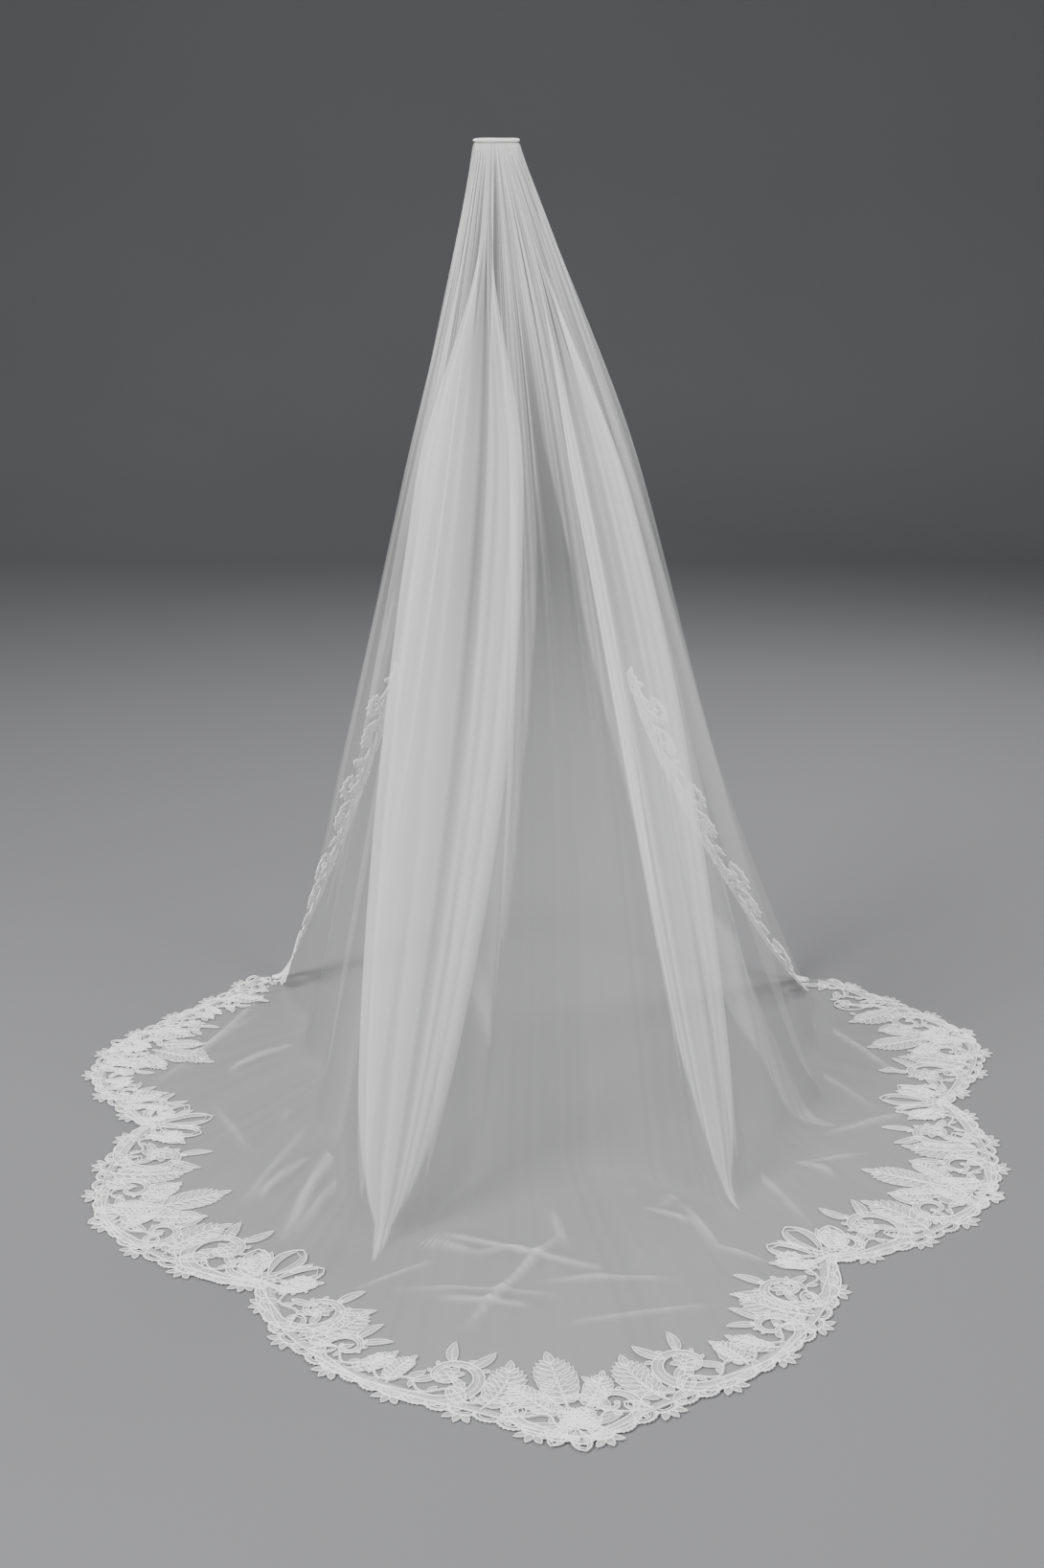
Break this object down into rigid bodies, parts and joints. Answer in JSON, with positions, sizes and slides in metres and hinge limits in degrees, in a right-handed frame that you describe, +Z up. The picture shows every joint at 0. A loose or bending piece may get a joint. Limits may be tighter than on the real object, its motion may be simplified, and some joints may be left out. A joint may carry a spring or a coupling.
{
  "type": "bridal veil",
  "caption": "Long bridal veil of gathered tulle on a hair comb, with a scalloped train edged in scroll and leaf lace.",
  "frame": {"origin": "middle of the comb at the gathered top, where the wearer's hair holds it; the floor is 1.75 m below", "axes": "+Z up, +Y the way the wearer faces, the train runs out to -Y, +X to the right as seen from behind the wearer"},
  "size_m": [1.756, 1.8254, 1.7545],
  "materials": {
    "tulle": "sheer soft net",
    "lace": "matt corded lace",
    "binding": "satin",
    "comb": "smooth"
  },
  "bodies": {
    "root": {"tulle_left": "tulle", "tulle_left_flute": "tulle", "tulle_middle": "tulle", "tulle_right_flute": "tulle", "tulle_right": "tulle", "tulle_train": "tulle", "lace_hem": "lace", "lace_left": "lace", "lace_right": "lace", "gather_band": "binding", "comb": "comb"}
  },
  "joints": []
}
